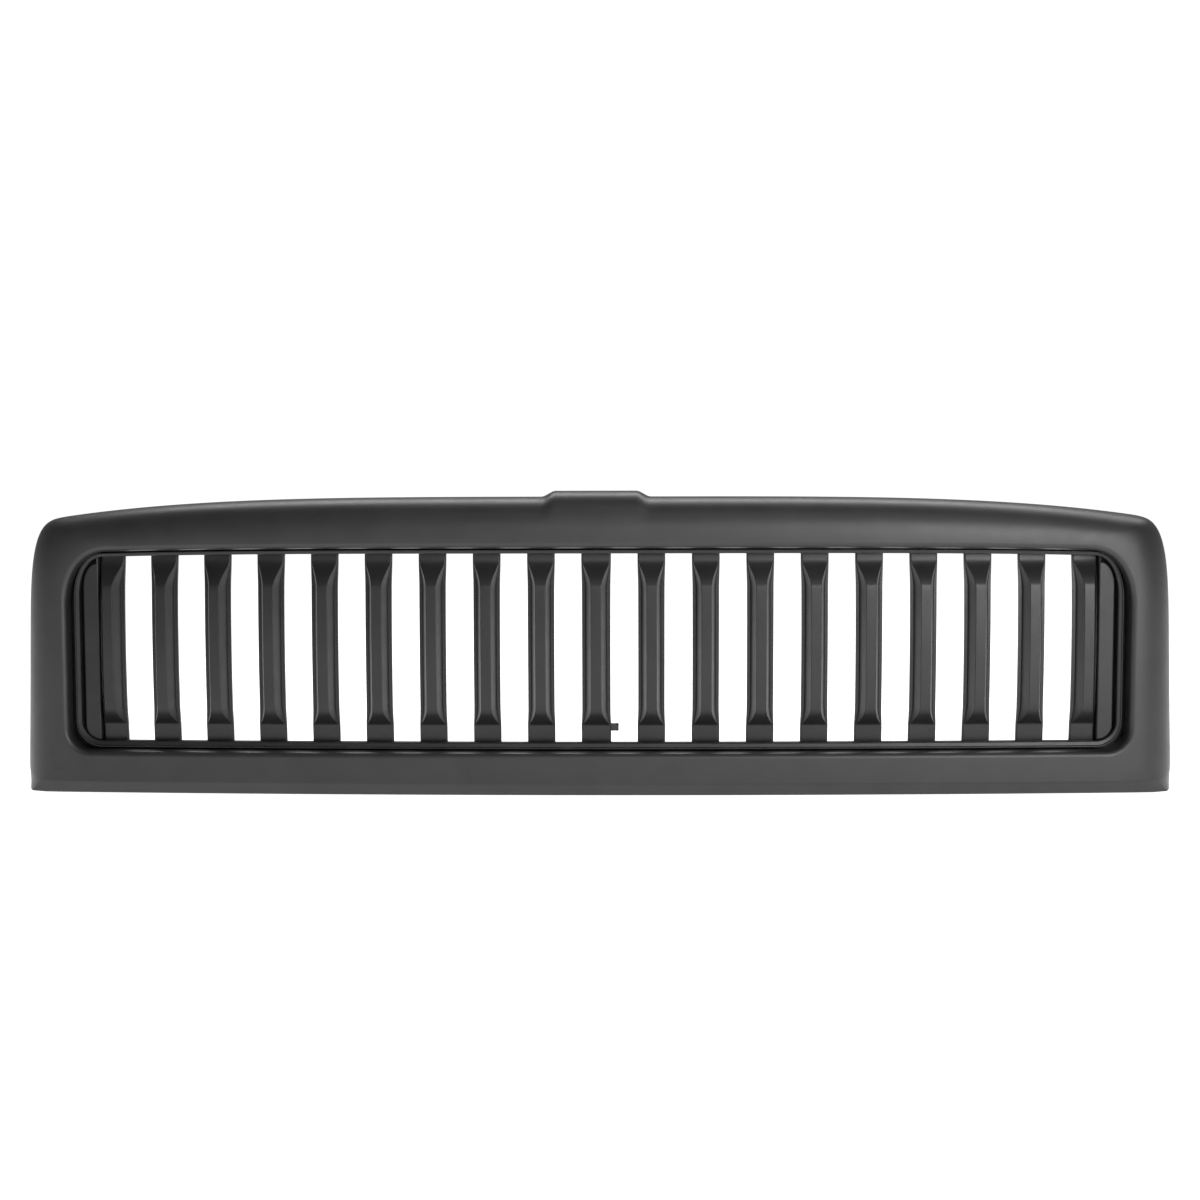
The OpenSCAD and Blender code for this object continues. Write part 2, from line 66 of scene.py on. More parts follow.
LIP_X, LIP_BOTTOM, LIP_TOP, LIP_R = 542.5, 38.2, 255.4, 6.0
LIP_ARCH, LIP_SPAN = 2.2, 455.0
LIP_RX, LIP_RZ, LIP_POWER, LIP_LOW_R = 49, 61, 2.2, 28
EDGE_RX, EDGE_RZ, EDGE_POWER, EDGE_LOW_R = 46, 122, 3.6, 10
LEAN, LEAN_FROM = 0.031, 20.0
THROAT_D, THROAT_FLANGE = 24.0, 16.0
CREASE_H, CREASE_INSET, CREASE_R = 12.6, 1.5, 20.0
CROWN_TOP, CROWN_SIDE, CHIN_D = 36.0, 45.0, 9.0
TOP_POWER, SIDE_POWER = 2.5, 2.2
BACK_TOP, BACK_SIDE, BACK_LOW, BACK_FLANGE = 66.0, 72.0, 50.0, 22.0
TOP_FALL, SIDE_FALL = 2.6, 2.0

RIM_X, RIM_BOTTOM, RIM_TOP, RIM_ARCH = 532.5, 45.7, 247.3, 2.2
RIM_RX, RIM_RZ, RIM_POWER, RIM_LOW_R = 31, 46, 2.2, 26
RIM_W, RIM_W_CHANGE, RIM_FRONT, RIM_BACK, RIM_FLANGE = 5.0, 0.26, 16.0, 27.0, 16.0

PITCH = 55.2
CENTRE_STEP = 0.8
BAR_WIDTH, CENTRE_WIDTH, RIDGE_W, RIDGE_H = 26.8, 28.8, 10.2, 14.2
LAST_HALF_W = 11.1
BAR_LOW, BAR_HIGH, BAR_MID, BAR_REACH, BAR_CROWN = 27.0, 267.0, 147.0, 97.0, 3.9
SLOPE_TOP, RIDGE_TOP, RIDGE_LOW, SLOPE_LOW = 238.0, 208.5, 88.0, 69.3
FLANGE_D, FLANGE_T, FLANGE_EDGE, SKIN = 29.0, 3.0, 3.2, 2.4
END_PROUD, END_FLARE, END_EDGE = 1.5, 0.6, 0.7
RAIL_D, RAIL_T = 32.2, 3.0

PANEL_X0, PANEL_X1, PANEL_Z0, PANEL_Z1 = 509.3, 525.8, 52.6, 240.0
PANEL_D, PANEL_R = 20.5, 15.0
PLATE_X0, PLATE_X1, PLATE_Z0, PLATE_Z1 = -9.5, 22.5, 29.0, 254.0
CLIP_X0, CLIP_X1, CLIP_Z, CLIP_D, CLIP_T = -15.3, 22.6, 62.2, 7.0, 7.1
LOWER_RAIL_TOP = 46.0


def bow(x):
    return BOW_R - math.sqrt(BOW_R * BOW_R - x * x)


def y_at(x, depth):
    return FRONT_Y + depth + bow(x)


def mix(a, b, t):
    return a + (b - a) * t


def smooth(t):
    c = max(0.0, min(1.0, t))
    return c * c * (3 - 2 * c)


def quartic(x, drop, span):
    return drop * (abs(x) / span) ** 4


def unit(v):
    return v / max(np.linalg.norm(v), 1e-6)


# ---------- mesh helpers ----------


def make_object(name, points, faces, material, nodes=()):
    """A smooth mesh from points in millimetres, riding on the body, in place of CAD nodes."""
    mesh = bpy.data.meshes.new(name)
    mesh.from_pydata([tuple(np.asarray(p) * MM) for p in points], [], faces)
    mesh.update()
    mesh.polygons.foreach_set("use_smooth", [True] * len(mesh.polygons))
    piece = bpy.data.objects.new(name, mesh)
    bpy.context.scene.collection.objects.link(piece)
    mesh.materials.append(material)
    weighted = piece.modifiers.new("face_weighted_normals", "WEIGHTED_NORMAL")
    weighted.mode = "FACE_AREA_WITH_ANGLE"
    weighted.weight = 60
    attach(piece, "root")
    if nodes:
        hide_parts(*nodes)
    return piece


def ring_faces(count, width, closed=True):
    """Quads between equal closed sections laid one after the other."""
    faces = []
    for i in range(count if closed else count - 1):
        for j in range(width):
            a = i * width + j
            b = i * width + (j + 1) % width
            c = ((i + 1) % count) * width + (j + 1) % width
            d = ((i + 1) % count) * width + j
            faces.append((a, b, c, d))
    return faces


CORNER_SHARE = 0.45  # the most of a side that the arc at one of its corners may take


def rounded(path, radii, steps=4, closed=False):
    """The path with its corners replaced by short arcs of the given radii."""
    result = []
    count = len(path)
    for i, here in enumerate(path):
        here = np.array(here, float)
        radius = radii[i]
        if radius == 0 or (not closed and i in (0, count - 1)):
            result.append(here)
            continue
        before = np.array(path[i - 1], float)
        after = np.array(path[(i + 1) % count], float)
        u, v = unit(before - here), unit(after - here)
        turn = math.acos(max(-1, min(1, float(u @ v))))
        reach = radius / math.tan(turn / 2)
        reach = min(reach, CORNER_SHARE * np.linalg.norm(before - here),
                    CORNER_SHARE * np.linalg.norm(after - here))
        start, end = here + u * reach, here + v * reach
        for k in range(steps + 1):
            t = k / steps
            result.append((1 - t) ** 2 * start + 2 * t * (1 - t) * here + t * t * end)
    return result


# ---------- surround ----------


class Outline:
    """Half outline: an arched top, a superellipse corner, an upright side, a round low corner."""

    def __init__(self, hx, top, bottom, rx, rz, power, low_r, drop, span):
        self.hx, self.top, self.bottom = hx, top, bottom
        self.rx, self.rz, self.power, self.low_r = rx, rz, power, low_r
        self.drop, self.span = drop, span

    def top_point(self, x):
        return np.array([x, self.top - quartic(x, self.drop, self.span), 0, 1.0])

    def corner_point(self, turn):
        c = max(math.cos(turn), 0.0) ** (2 / self.power)
        s = max(math.sin(turn), 0.0) ** (2 / self.power)
        x = self.hx - self.rx * (1 - c)
        z = self.top - quartic(x, self.drop, self.span) - self.rz * (1 - s)
        n = unit(np.array([c ** (self.power - 1) / self.rx, s ** (self.power - 1) / self.rz]))
        return np.array([x, z, n[0], n[1]])

    def low_corner_point(self, turn):
        x = self.hx - self.low_r * (1 - math.cos(turn))
        z = self.bottom + self.low_r * (1 - math.sin(turn))
        return np.array([x, z, math.cos(turn), -math.sin(turn)])

    def point(self, kind, t):
        if kind == "top":
            return self.top_point(t)
        if kind == "lead":
            return self.top_point(mix(LEAD_X, self.hx - self.rx, t))
        if kind == "corner":
            return self.corner_point(math.radians(t))
        if kind == "side":
            upper, lower = self.corner_point(0.0), self.low_corner_point(0.0)
            return mix(upper, lower, t)
        if kind == "low":
            return self.low_corner_point(math.radians(t))
        return np.array([(self.hx - self.low_r) * (1 - t), self.bottom, 0, -1.0])


LEAD_X = 450.0
CORNER_STEPS, SIDE_STEPS, LOW_STEPS, BASE_STEPS = 40, 14, 14, 36


def eased(steps):
    """Steps from 0 to 1 that are closer together at both ends."""
    return [0.5 - 0.5 * math.cos(math.pi * k / steps) for k in range(steps + 1)]


def stations(top_xs):
    """Where the sections stand, from the middle of the top to the middle of the bottom."""
    places = [("top", x) for x in top_xs]
    places += [("lead", k / 8) for k in range(8)]
    places += [("corner", 90 * (1 - t)) for t in eased(CORNER_STEPS)]
    places += [("side", k / SIDE_STEPS) for k in range(1, SIDE_STEPS)]
    places += [("low", 90 * t) for t in eased(LOW_STEPS)]
    places += [("base", k / BASE_STEPS) for k in range(1, BASE_STEPS + 1)]
    return places


def top_share(kind, t):
    return 1.0 if kind in ("top", "lead") else smooth(t / 90) if kind == "corner" else 0.0


def low_share(kind, t):
    return smooth(t / 90) if kind == "low" else 1.0 if kind == "base" else 0.0


lip_line = Outline(LIP_X, LIP_TOP, LIP_BOTTOM, LIP_RX, LIP_RZ, LIP_POWER, LIP_LOW_R, LIP_ARCH,
                   LIP_SPAN)
crease_line = Outline(HALF_W - CREASE_INSET, LIP_TOP, CREASE_H, EDGE_RX, EDGE_RZ, EDGE_POWER,
                      CREASE_R, 0, 1)
edge_line = Outline(HALF_W, BODY_H, 0, EDGE_RX, EDGE_RZ, EDGE_POWER, EDGE_LOW_R, ARCH_DROP,
                    ARCH_SPAN)

FACE_STEPS = 36
CREASE_STEP = 27


def roll(turn, power, depth):
    """Fraction of the way across a rolled face, and its depth there."""
    across = max(math.sin(turn), 0.0) ** (2 / power)
    return across, depth * (1 - max(math.cos(turn), 0.0) ** (2 / power))


def end_roll(x):
    v = max(0.0, min(1.0, (abs(x) - LIP_X) / (HALF_W - LIP_X)))
    return CROWN_SIDE * (1 - (1 - v**SIDE_POWER) ** (1 / SIDE_POWER))


def hump_rise(x, across):
    rise = smooth((HUMP_HALF + HUMP_RAMP - abs(x)) / HUMP_RAMP)
    return HUMP_H * rise * smooth((across - 0.4) / 0.6)


def flat_point(x, z, depth):
    """A point at a depth behind the bowed front; the ends lean in from LEAN_FROM upward."""
    share = max(0.0, min(1.0, (abs(x) - LIP_X) / (HALF_W - LIP_X)))
    x -= math.copysign(LEAN * max(0.0, z - LEAN_FROM) * share, x)
    return np.array([x, y_at(x, depth), z])


def upper_face(lip, edge, share):
    line = []
    for i in range(1, FACE_STEPS + 1):
        turn = math.pi / 2 * i / FACE_STEPS
        top, side = roll(turn, TOP_POWER, CROWN_TOP), roll(turn, SIDE_POWER, CROWN_SIDE)
        across, depth = mix(side[0], top[0], share), mix(side[1], top[1], share)
        rise = hump_rise(edge[0], across) if share == 1 else 0.0
        line.append(
            flat_point(mix(lip[0], edge[0], across), mix(lip[1], edge[1], across) + rise, depth)
        )
    return line


def lower_face(lip, crease, edge, low):
    last = roll(math.pi / 2 * CREASE_STEP / FACE_STEPS, SIDE_POWER, 1)[0]
    crease_d = end_roll(crease[0])
    edge_d = crease_d + mix(CROWN_SIDE - end_roll(HALF_W - CREASE_INSET), CHIN_D, low)
    line = []
    for i in range(1, FACE_STEPS + 1):
        if i <= CREASE_STEP:
            f = roll(math.pi / 2 * i / FACE_STEPS, SIDE_POWER, 1)[0] / last
            x, z = mix(lip[0], crease[0], f), mix(lip[1], crease[1], f)
            line.append(flat_point(x, z, end_roll(x)))
        else:
            g = (i - CREASE_STEP) / (FACE_STEPS - CREASE_STEP)
            x, z = mix(crease[0], edge[0], g), mix(crease[1], edge[1], g)
            line.append(flat_point(x, z, mix(crease_d, edge_d, g)))
    crest = CREASE_STEP - 1
    line[crest] = 0.5 * line[crest] + 0.25 * (line[crest - 1] + line[crest + 1])
    return line


def blended_face(lip, crease, edge, top, low, crease_share):
    """Rolled face above, creased face below, one turning into the other up the ends."""
    if crease_share == 0:
        return upper_face(lip, edge, top)
    creased = lower_face(lip, crease, edge, low)
    if crease_share == 1:
        return creased
    rolled = upper_face(lip, edge, top)
    return [mix(a, b, crease_share) for a, b in zip(rolled, creased)]


LIP_TURN_STEPS = 10


def surround_section(kind, t):
    """Outer line of one section, from the throat's flange to the rear flange."""
    lip, edge = lip_line.point(kind, t), edge_line.point(kind, t)
    top, low = top_share(kind, t), low_share(kind, t)
    side = 1 - top - low
    back = top * BACK_TOP + low * BACK_LOW + side * BACK_SIDE
    fall = top * TOP_FALL + side * SIDE_FALL
    inward = unit(lip[:2] - edge[:2])
    rise = hump_rise(edge[0], 1.0) if top == 1 else 0.0
    rear = edge[:2] + np.array([0, rise]) + inward * fall
    throat = [(THROAT_FLANGE - LIP_R, THROAT_D), (-LIP_R, THROAT_D), (-LIP_R, LIP_R * 2)]
    for k in range(LIP_TURN_STEPS + 1):
        a = math.pi / 2 * k / LIP_TURN_STEPS
        throat.append((-LIP_R * math.cos(a), LIP_R * (1 - math.sin(a))))
    line = [flat_point(lip[0] + lip[2] * q, lip[1] + lip[3] * q, d) for q, d in throat]
    crease_share = {"side": smooth(t), "low": 1.0, "base": 1.0}.get(kind, 0.0)
    line += blended_face(lip, crease_line.point(kind, t), edge, top, low, crease_share)
    line.append(flat_point(rear[0], rear[1], back))
    rear_end = rear + inward * BACK_FLANGE
    line.append(flat_point(rear_end[0], rear_end[1], back))
    return np.array(line)


def mirrored_ring(half):
    """Close a ring of sections by mirroring its right half."""
    flip = np.array([-1, 1, 1])
    return half + [section * flip for section in half[-2:0:-1]]


def inner_wall(ring, thickness):
    """The lines a wall's thickness behind a ring of open lines."""
    lines = []
    count = len(ring)
    for k, section in enumerate(ring):
        along = ring[(k + 1) % count] - ring[k - 1]
        after = np.vstack([section[1:] - section[:-1], section[-1:] - section[-2:-1]])
        before = np.vstack([section[1:2] - section[:1], section[1:] - section[:-1]])
        na, nb = np.cross(after, along), np.cross(before, along)
        na /= np.maximum(np.linalg.norm(na, axis=1, keepdims=True), 1e-6)
        nb /= np.maximum(np.linalg.norm(nb, axis=1, keepdims=True), 1e-6)
        way = na + nb
        way /= np.maximum(np.linalg.norm(way, axis=1, keepdims=True), 1e-6)
        stretch = np.maximum(0.6, (way * na).sum(axis=1, keepdims=True))
        lines.append(section + way / stretch * thickness)
    return lines


def surround(material):
    hump_edge = HUMP_HALF + HUMP_RAMP
    top_xs = [HUMP_HALF * k / 5 for k in range(5)]
    top_xs += [mix(HUMP_HALF - 1, hump_edge + 1, k / 14) for k in range(15)]
    top_xs += [mix(hump_edge + 1, LEAD_X, k / 24) for k in range(1, 24)]
    outer = mirrored_ring([surround_section(kind, t) for kind, t in stations(top_xs)])
    inner = inner_wall(outer, WALL)
    sections = [np.vstack([o, i[::-1]]) for o, i in zip(outer, inner)]
    points = np.vstack(sections)
    faces = ring_faces(len(sections), len(sections[0]))
    return make_object(
        "surround_skin", points, faces, material, ["surround_shell"]
    )


# ---------- rim of the insert ----------

rim_line = Outline(RIM_X, RIM_TOP, RIM_BOTTOM, RIM_RX, RIM_RZ, RIM_POWER, RIM_LOW_R, RIM_ARCH,
                   LIP_SPAN)


def rim(material):
    path = [
        (-RIM_W, RIM_BACK), (-RIM_W, RIM_FRONT + 1.8), (-RIM_W + 0.8, RIM_FRONT + 1),
        (-1.6, RIM_FRONT + 0.4), (-1.1, RIM_FRONT - 0.8), (0, RIM_FRONT - 0.8),
        (0.3, RIM_FRONT + 0.4), (0.3, RIM_BACK - WALL), (RIM_FLANGE, RIM_BACK - WALL),
        (RIM_FLANGE, RIM_BACK), (-2, RIM_BACK), (-2, RIM_FRONT + 4), (-2.8, RIM_FRONT + 4),
        (-2.8, RIM_BACK),
    ]
    radii = [0, 0.4, 0.4, 0.3, 0.4, 0.4, 0.3, 0.6, 0.3, 0.3, 0, 0.3, 0.3, 0]
    path = rounded(path, radii, steps=3, closed=True)
    top_xs = [LEAD_X * k / 30 for k in range(30)]
    half = []
    for kind, t in stations(top_xs):
        x, z, nx, nz = rim_line.point(kind, t)
        section = []
        for q, d in path:
            out = q * (1 - RIM_W_CHANGE * nz) if q < 0 else q
            section.append([x + nx * out, y_at(x + nx * out, d), z + nz * out])
        half.append(np.array(section))
    sections = mirrored_ring(half)
    points = np.vstack(sections)
    faces = ring_faces(len(sections), len(path))
    return make_object("rim_skin", points, faces, material, ["insert_rim"])


# ---------- bars ----------

SLOPE_SOFTNESS = 1.2


def bar_drop_raw(z):
    if z > RIDGE_TOP:
        return smooth((z - RIDGE_TOP) / (SLOPE_TOP - RIDGE_TOP))
    if z < RIDGE_LOW:
        return min(1.0, ((RIDGE_LOW - z) / (RIDGE_LOW - SLOPE_LOW)) ** 1.6)
    return 0.0


def bar_drop(z):
    """How far the front has dropped from ridge to end face, with softened turns."""
    total, weight = 0.0, 0.0
    for k in range(-6, 7):
        w = math.exp(-(k / 3) ** 2)
        total += w * bar_drop_raw(z + k / 3 * SLOPE_SOFTNESS)
        weight += w
    return total / weight


def bar_section(z, width, left, right):
    """Outline at height z, with each side cut at the given half width."""
    drop = bar_drop(z)
    flange = FLANGE_D - BAR_CROWN * (1 - min(1.0, ((z - BAR_MID) / BAR_REACH) ** 2))
    edge = width / 2 + END_FLARE * drop
    foot = edge - mix(FLANGE_EDGE, END_EDGE, drop)
    edge_l, edge_r = min(edge, left), min(edge, right)
    foot_l, foot_r = min(foot, left - END_EDGE), min(foot, right - END_EDGE)
    face_l = mix(RIDGE_W / 2, foot_l - 0.3, drop)
    face_r = mix(RIDGE_W / 2, foot_r - 0.3, drop)
    front = flange - mix(RIDGE_H, END_PROUD, drop)
    inner = front + SKIN
    back = flange + FLANGE_T
    path = [
        (-edge_l, back), (-edge_l, flange), (-foot_l, flange), (-face_l, front),
        (face_r, front), (foot_r, flange), (edge_r, flange), (edge_r, back),
        (foot_r - SKIN, back), (face_r - SKIN * 0.8, inner), (-face_l + SKIN * 0.8, inner),
        (-foot_l + SKIN, back),
    ]
    radii = [0.2, 0.35, 0.5, 0.8, 0.8, 0.5, 0.35, 0.2, 0.2, 0.6, 0.6, 0.2]
    return rounded(path, radii, steps=4, closed=True)


def bar_stations():
    zs = list(np.linspace(BAR_LOW, 62, 8)) + list(np.linspace(63, 86, 30))
    zs += list(np.linspace(90, 208, 26)) + list(np.linspace(211, 243, 36))
    return zs + list(np.linspace(246, BAR_HIGH, 6))


def bar(number, material):
    i = number - 10
    x0 = math.copysign(abs(i) * PITCH + CENTRE_STEP, i) if i else 0.0
    width = BAR_WIDTH if i else CENTRE_WIDTH
    turn = math.asin(x0 / BOW_R)
    cos, sin = math.cos(turn), math.sin(turn)
    left = LAST_HALF_W if number == 1 else width
    right = LAST_HALF_W if number == 19 else width
    sections = [(z, bar_section(z, width, left, right)) for z in bar_stations()]
    points = []
    for z, section in sections:
        for x, d in section:
            points.append((x0 + x * cos - d * sin, y_at(x0, 0) + x * sin + d * cos, z))
    width_count = len(sections[0][1])
    faces = ring_faces(len(sections), width_count, closed=False)
    last = (len(sections) - 1) * width_count
    faces += [end_cap(0, width_count, True), end_cap(last, width_count, False)]
    return make_object(
        f"ridged_bar_{number:02d}", points, faces, material,
        [f"bar_{number:02d}"],
    )


def end_cap(base, count, flip):
    """The flat piece that closes one end of a bar, from its first point on."""
    polygon = list(range(base, base + count))
    return tuple(polygon if flip else polygon[::-1])


# ---------- end panels and clip ----------


def on_bow(middle, x, depth, z):
    """A point of a piece that stands square to the bow at the given middle."""
    turn = math.asin(middle / BOW_R)
    return (
        middle + x * math.cos(turn) - depth * math.sin(turn),
        y_at(middle, 0) + x * math.sin(turn) + depth * math.cos(turn),
        z,
    )


def capped(loops):
    """Faces of equal closed loops laid one after the other, with both ends closed."""
    width = len(loops[0])
    faces = ring_faces(len(loops), width, closed=False)
    faces.append(tuple(range(width - 1, -1, -1)))
    last = (len(loops) - 1) * width
    faces.append(tuple(range(last, last + width)))
    return faces


def soft_box(x0, x1, d0, d1, z0, z1, radius, steps=4):
    """Loops of a box with rounded edges all round, as (x, depth, z)."""
    loops = []
    turns = [math.pi / 2 * k / steps for k in range(steps + 1)]
    ends = [(z0 + radius * (1 - math.sin(t)), radius * (1 - math.cos(t))) for t in turns[::-1]]
    ends += [(z1 - radius * (1 - math.sin(t)), radius * (1 - math.cos(t))) for t in turns]
    for z, inset in ends:
        loop = []
        r = radius * 1.2 - inset
        corners = [(x1 - inset - r, d0 + inset + r, -90), (x1 - inset - r, d1 - inset - r, 0),
                   (x0 + inset + r, d1 - inset - r, 90), (x0 + inset + r, d0 + inset + r, 180)]
        for cx, cd, start in corners:
            for t in turns:
                a = math.radians(start) + t
                loop.append((cx + r * math.cos(a), cd + r * math.sin(a), z))
        loops.append(loop)
    return loops


def panel_outline(inset):
    """Outline of an end panel: square to the bar, round to the outside."""
    w, r, steps = PANEL_X1 - PANEL_X0, PANEL_R, 14
    loop = [(inset, PANEL_Z0 + inset)]
    for k in range(steps + 1):
        t = math.pi / 2 * k / steps - math.pi / 2
        loop.append((w - r + (r - inset) * math.cos(t), PANEL_Z0 + r + (r - inset) * math.sin(t)))
    top = PANEL_Z1 - 6 - r * 1.6
    for k in range(24):
        loop.append((w - inset, mix(PANEL_Z0 + r, top, (k + 1) / 25)))
    for k in range(steps + 1):
        t = math.pi / 2 * k / steps
        loop.append((w - r + (r - inset) * math.cos(t), top + (r * 1.6 - inset) * math.sin(t)))
    loop.append((inset, PANEL_Z1 - inset))
    return loop


def end_panel(side, material):
    """Raised panel with a rounded front edge on a plate with rounded edges."""
    middle = (PANEL_X0 + PANEL_X1) / 2
    edge = 1.6
    rings = [(0, RAIL_D + 0.1), (0, PANEL_D + edge)]
    for k in range(1, 7):
        t = math.pi / 2 * k / 6
        rings.append((edge * (1 - math.cos(t)), PANEL_D + edge * (1 - math.sin(t))))
    loops = [[on_bow(middle, PANEL_X0 - middle + x, d, z) for x, z in panel_outline(inset)]
             for inset, d in rings]
    plate = soft_box(PLATE_X0, PLATE_X1, RAIL_D, RAIL_D + RAIL_T, PLATE_Z0, PLATE_Z1, 0.6)
    plate = [[on_bow(middle, x, d, z) for x, d, z in loop] for loop in plate]
    points = [point for loop in loops for point in loop]
    faces = capped(loops)
    start = len(points)
    points += [point for loop in plate for point in loop]
    faces += [tuple(start + k for k in face[::-1]) for face in capped(plate)]
    if side < 0:
        points = [(-x, y, z) for x, y, z in points]
        faces = [face[::-1] for face in faces]
    word = "left" if side < 0 else "right"
    return make_object(f"filler_panel_{word}", points, faces, material,
                       [f"end_panel_{word}"])


def clip(material):
    """Cross piece with a recessed square end, and a leg down to the lower rail."""
    points, faces = [], []
    d0, d1 = RAIL_D, RAIL_D + CLIP_D
    recess, wall = 1.6, 1.4
    body = soft_box(CLIP_X0, CLIP_X1 - recess, d0, d1, CLIP_Z, CLIP_Z + CLIP_T, 0.5)
    leg = soft_box(-6, 6, d0, d0 + 5, LOWER_RAIL_TOP + 0.2, CLIP_Z + 1.2, 0.6)
    frame_bars = [
        soft_box(CLIP_X1 - recess - 1, CLIP_X1, d0, d0 + wall, CLIP_Z, CLIP_Z + CLIP_T, 0.3),
        soft_box(CLIP_X1 - recess - 1, CLIP_X1, d1 - wall, d1, CLIP_Z, CLIP_Z + CLIP_T, 0.3),
        soft_box(CLIP_X1 - recess - 1, CLIP_X1, d0, d1, CLIP_Z, CLIP_Z + wall, 0.3),
        soft_box(CLIP_X1 - recess - 1, CLIP_X1, d0, d1, CLIP_Z + CLIP_T - wall,
                 CLIP_Z + CLIP_T, 0.3),
    ]
    for loops in [body, leg, *frame_bars]:
        start = len(points)
        points += [(x, FRONT_Y + d, z) for loop in loops for x, d, z in loop]
        faces += [tuple(start + k for k in face[::-1]) for face in capped(loops)]
    return make_object("snap_clip", points, faces, material, ["centre_clip"])


# ---------- materials ----------


class Nodes:
    """Short helpers for building one material's node tree."""

    def __init__(self, name):
        self.material = bpy.data.materials.new(name)
        self.material.use_nodes = True
        self.tree = self.material.node_tree
        self.shader = self.tree.nodes["Principled BSDF"]
        self.place = self.tree.nodes.new("ShaderNodeTexCoord").outputs["Object"]

    def noise(self, size_mm, detail=2.0, roughness=0.5):
        """Noise whose features are about size_mm across, from 0 to 1."""
        node = self.tree.nodes.new("ShaderNodeTexNoise")
        node.inputs["Scale"].default_value = 1 / (size_mm * MM)
        node.inputs["Detail"].default_value = detail
        node.inputs["Roughness"].default_value = roughness
        self.tree.links.new(self.place, node.inputs["Vector"])
        return node.outputs["Fac"]

    def remap(self, value, low, high, start=0.3, end=0.7):
        node = self.tree.nodes.new("ShaderNodeMapRange")
        node.inputs["From Min"].default_value = start
        node.inputs["From Max"].default_value = end
        node.inputs["To Min"].default_value = low
        node.inputs["To Max"].default_value = high
        self.tree.links.new(value, node.inputs["Value"])
        return node.outputs["Result"]

    def blend(self, value, first, second):
        node = self.tree.nodes.new("ShaderNodeMix")
        node.data_type = "RGBA"
        node.inputs["A"].default_value = (*first, 1)
        node.inputs["B"].default_value = (*second, 1)
        self.tree.links.new(value, node.inputs["Factor"])
        return node.outputs["Result"]

    def bump(self, height, distance_mm, strength=1.0, under=None):
        node = self.tree.nodes.new("ShaderNodeBump")
        node.inputs["Strength"].default_value = strength
        node.inputs["Distance"].default_value = distance_mm * MM
        self.tree.links.new(height, node.inputs["Height"])
        if under is not None:
            self.tree.links.new(under, node.inputs["Normal"])
        return node.outputs["Normal"]

    def link(self, value, socket):
        self.tree.links.new(value, self.shader.inputs[socket])


def plastic(name, dark, light, rough, grain_mm=0.45, grain_depth=0.012, waviness=0.05, ior=1.5):
    """Moulded black plastic: fine grain, faint flow marks and slow waviness."""
    n = Nodes(name)
    flow = n.remap(n.noise(38, detail=3), 0, 1)
    n.link(n.blend(flow, dark, light), "Base Color")
    sheen_patch = n.remap(n.noise(14, detail=4, roughness=0.6), rough - 0.03, rough + 0.03)
    n.link(sheen_patch, "Roughness")
    wave = n.bump(n.noise(70, detail=1), waviness)
    n.link(n.bump(n.noise(grain_mm, detail=2), grain_depth, under=wave), "Normal")
    n.shader.inputs["IOR"].default_value = ior
    return n.material


def zinc(name):
    """Zinc plating: pale metal with a cloudy passivated bloom and fine scratches."""
    n = Nodes(name)
    bloom = n.remap(n.noise(2.2, detail=4), 0, 1)
    n.link(n.blend(bloom, (0.50, 0.50, 0.47), (0.66, 0.65, 0.60)), "Base Color")
    n.link(n.remap(n.noise(0.9, detail=5), 0.26, 0.44), "Roughness")
    n.link(n.bump(n.noise(0.3, detail=3), 0.008), "Normal")
    n.shader.inputs["Metallic"].default_value = 1.0
    return n.material


def coated_steel(name):
    """Black dipped steel: slightly orange-peeled, with paler thin patches."""
    n = Nodes(name)
    thin = n.remap(n.noise(9, detail=5, roughness=0.65), 0, 1, 0.45, 0.75)
    n.link(n.blend(thin, (0.022, 0.022, 0.024), (0.045, 0.045, 0.047)), "Base Color")
    n.link(n.remap(n.noise(5, detail=3), 0.30, 0.44), "Roughness")
    n.link(n.bump(n.noise(1.4, detail=2), 0.03), "Normal")
    return n.material


surround_material = plastic("satin_surround", (0.014, 0.014, 0.0145), (0.019, 0.019, 0.0195), 0.40)
insert_material = plastic(
    "satin_insert", (0.012, 0.012, 0.0125), (0.017, 0.017, 0.0175), 0.36, grain_depth=0.008,
    ior=1.42
)
rail_material = plastic(
    "raw_rail", (0.018, 0.018, 0.018), (0.028, 0.028, 0.028), 0.55,
    grain_mm=0.8, grain_depth=0.02, waviness=0.15
)
zinc_material = zinc("zinc_plating")
steel_material = coated_steel("coated_steel")

# ---------- the pieces ----------

surround(surround_material)
rim(insert_material)
for bar_number in range(1, 20):
    bar(bar_number, insert_material)
end_panel(-1, insert_material)
end_panel(1, insert_material)
clip(rail_material)


def repaint(name, material):
    """Give a CAD node a finished material."""
    for slot in frame["nodes"][name].material_slots:
        slot.material = material


finishes = {
    "insert_plastic": insert_material,
    "rail_plastic": rail_material,
    "zinc_fasteners": zinc_material,
    "bracket_steel": steel_material,
    "surround_plastic": surround_material,
}
for part in frame["record"]["subparts"]:
    repaint(part["node"], finishes[part["material_slot"]])

# ---------- studio ----------


def stage_plane(name, material, half_width, front, back):
    mesh = bpy.data.meshes.new(name)
    corners = [(-half_width, front, 0), (half_width, front, 0), (half_width, back, 0),
               (-half_width, back, 0)]
    mesh.from_pydata(corners, [], [(0, 1, 2, 3)])
    floor = bpy.data.objects.new(name, mesh)
    bpy.context.scene.collection.objects.link(floor)
    mesh.materials.append(material)
    return floor


